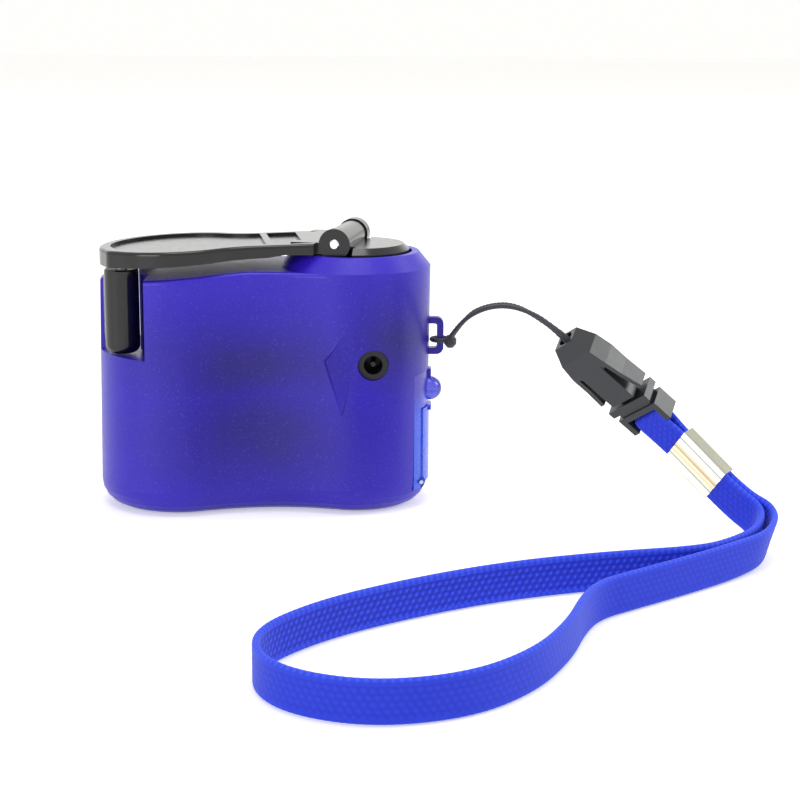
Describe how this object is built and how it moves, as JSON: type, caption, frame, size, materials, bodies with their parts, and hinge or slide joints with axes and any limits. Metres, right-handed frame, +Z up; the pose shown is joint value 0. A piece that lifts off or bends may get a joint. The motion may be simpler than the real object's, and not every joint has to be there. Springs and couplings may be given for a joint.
{
  "type": "hand crank phone charger",
  "caption": "Waisted plastic hand generator with a folding crank on its lid, a USB socket under a hinged flap, a torch LED and a wrist strap.",
  "frame": {"origin": "on the flat base, under the middle of the body's waist", "axes": "+Z up, +X along the body towards the crank's hub, -Y the face with the charging socket"},
  "size_m": [0.1306, 0.1437, 0.0583],
  "materials": {
    "body_plastic": "satin, fine moulded texture, deep blue violet",
    "azure_plastic": "satin azure blue",
    "black_plastic": "satin black",
    "buckle_plastic": "black moulded",
    "steel": "turned and ground",
    "bright_steel": "polished pin ends",
    "clip_metal": "plated, fluted",
    "bronze": "sintered bush",
    "copper": "enamelled wire",
    "gear_nylon": "natural nylon",
    "frame_plastic": "moulded gear plate",
    "magnet": "sintered ferrite",
    "core_steel": "laminated stack",
    "board": "green solder mask",
    "component": "moulded components",
    "contact_metal": "plated contacts",
    "led_lens": "clear epoxy",
    "lead_wire": "insulated wire",
    "cord_fabric": "black twisted cord",
    "strap_fabric": "woven bright blue tape"
  },
  "bodies": {
    "housing": {"front_shell": "body_plastic", "rear_shell": "body_plastic", "shell_screws": "steel", "end_panel": "azure_plastic", "flap_pins": "steel", "usb_socket_shell": "steel", "usb_socket_tongue": "component", "usb_contacts": "contact_metal", "led": "led_lens", "led_leads": "contact_metal", "dc_jack": "component", "circuit_board": "board", "storage_capacitor": "component", "rectifier_diodes": "component", "regulator_chip": "component", "lower_gear_plate": "frame_plastic", "upper_gear_plate": "frame_plastic", "plate_pillars": "steel", "second_gear_axle": "steel", "third_gear_axle": "steel", "crank_bush": "bronze", "motor_can": "steel", "motor_end_cap": "frame_plastic", "motor_magnets": "magnet", "motor_brushes": "contact_metal", "motor_leads": "lead_wire", "cord_knot": "cord_fabric", "lanyard_cord_a": "cord_fabric", "lanyard_cord_b": "cord_fabric", "buckle_socket": "buckle_plastic", "buckle_plug": "buckle_plastic", "strap_end_loop": "strap_fabric", "crimp_clip": "clip_metal", "lanyard_strap": "strap_fabric"},
    "crank": {"crank_hub": "black_plastic", "crank_shaft": "steel", "drive_gear": "gear_nylon", "shaft_clip": "steel"},
    "arm": {"crank_arm": "black_plastic", "hinge_pin": "bright_steel", "knob_axle": "steel"},
    "knob_body": {"knob": "black_plastic"},
    "second_gear_body": {"second_gear": "gear_nylon"},
    "third_gear_body": {"third_gear": "gear_nylon"},
    "rotor": {"rotor_shaft": "steel", "rotor_core": "core_steel", "rotor_windings": "copper", "commutator": "copper", "motor_pinion": "bronze"},
    "flap": {"usb_flap": "azure_plastic"}
  },
  "joints": [
    {"name": "crank_spin", "type": "hinge", "parent": "housing", "child": "crank", "pos_m": [0.0175, 0, 0.05], "axis": [0, 0, 1], "continuous": true},
    {"name": "crank_fold", "type": "hinge", "parent": "crank", "child": "arm", "pos_m": [0.01534, 0.0004, 0.0551], "axis": [0.1822, 0.9833, 0], "range_deg": [0, 180]},
    {"name": "knob_spin", "type": "hinge", "parent": "arm", "child": "knob_body", "pos_m": [-0.02975, -0.0082, 0.042], "axis": [0, 0, 1], "continuous": true},
    {"name": "second_gear_spin", "type": "hinge", "parent": "housing", "child": "second_gear_body", "pos_m": [0.0015, 0, 0.038], "axis": [0, 0, 1], "continuous": true},
    {"name": "third_gear_spin", "type": "hinge", "parent": "housing", "child": "third_gear_body", "pos_m": [-0.0093, 0, 0.035], "axis": [0, 0, 1], "continuous": true},
    {"name": "rotor_spin", "type": "hinge", "parent": "housing", "child": "rotor", "pos_m": [-0.0208, 0, 0.02], "axis": [0, 0, 1], "continuous": true},
    {"name": "usb_flap_hinge", "type": "hinge", "parent": "housing", "child": "flap", "pos_m": [0.0313, 0, 0.00525], "axis": [0, 1, 0], "range_deg": [0, 90]}
  ],
  "couplings": [
    {"joint": "second_gear_spin", "follows": "crank_spin", "ratio": -3},
    {"joint": "third_gear_spin", "follows": "crank_spin", "ratio": 7.8},
    {"joint": "rotor_spin", "follows": "crank_spin", "ratio": -28.08}
  ]
}
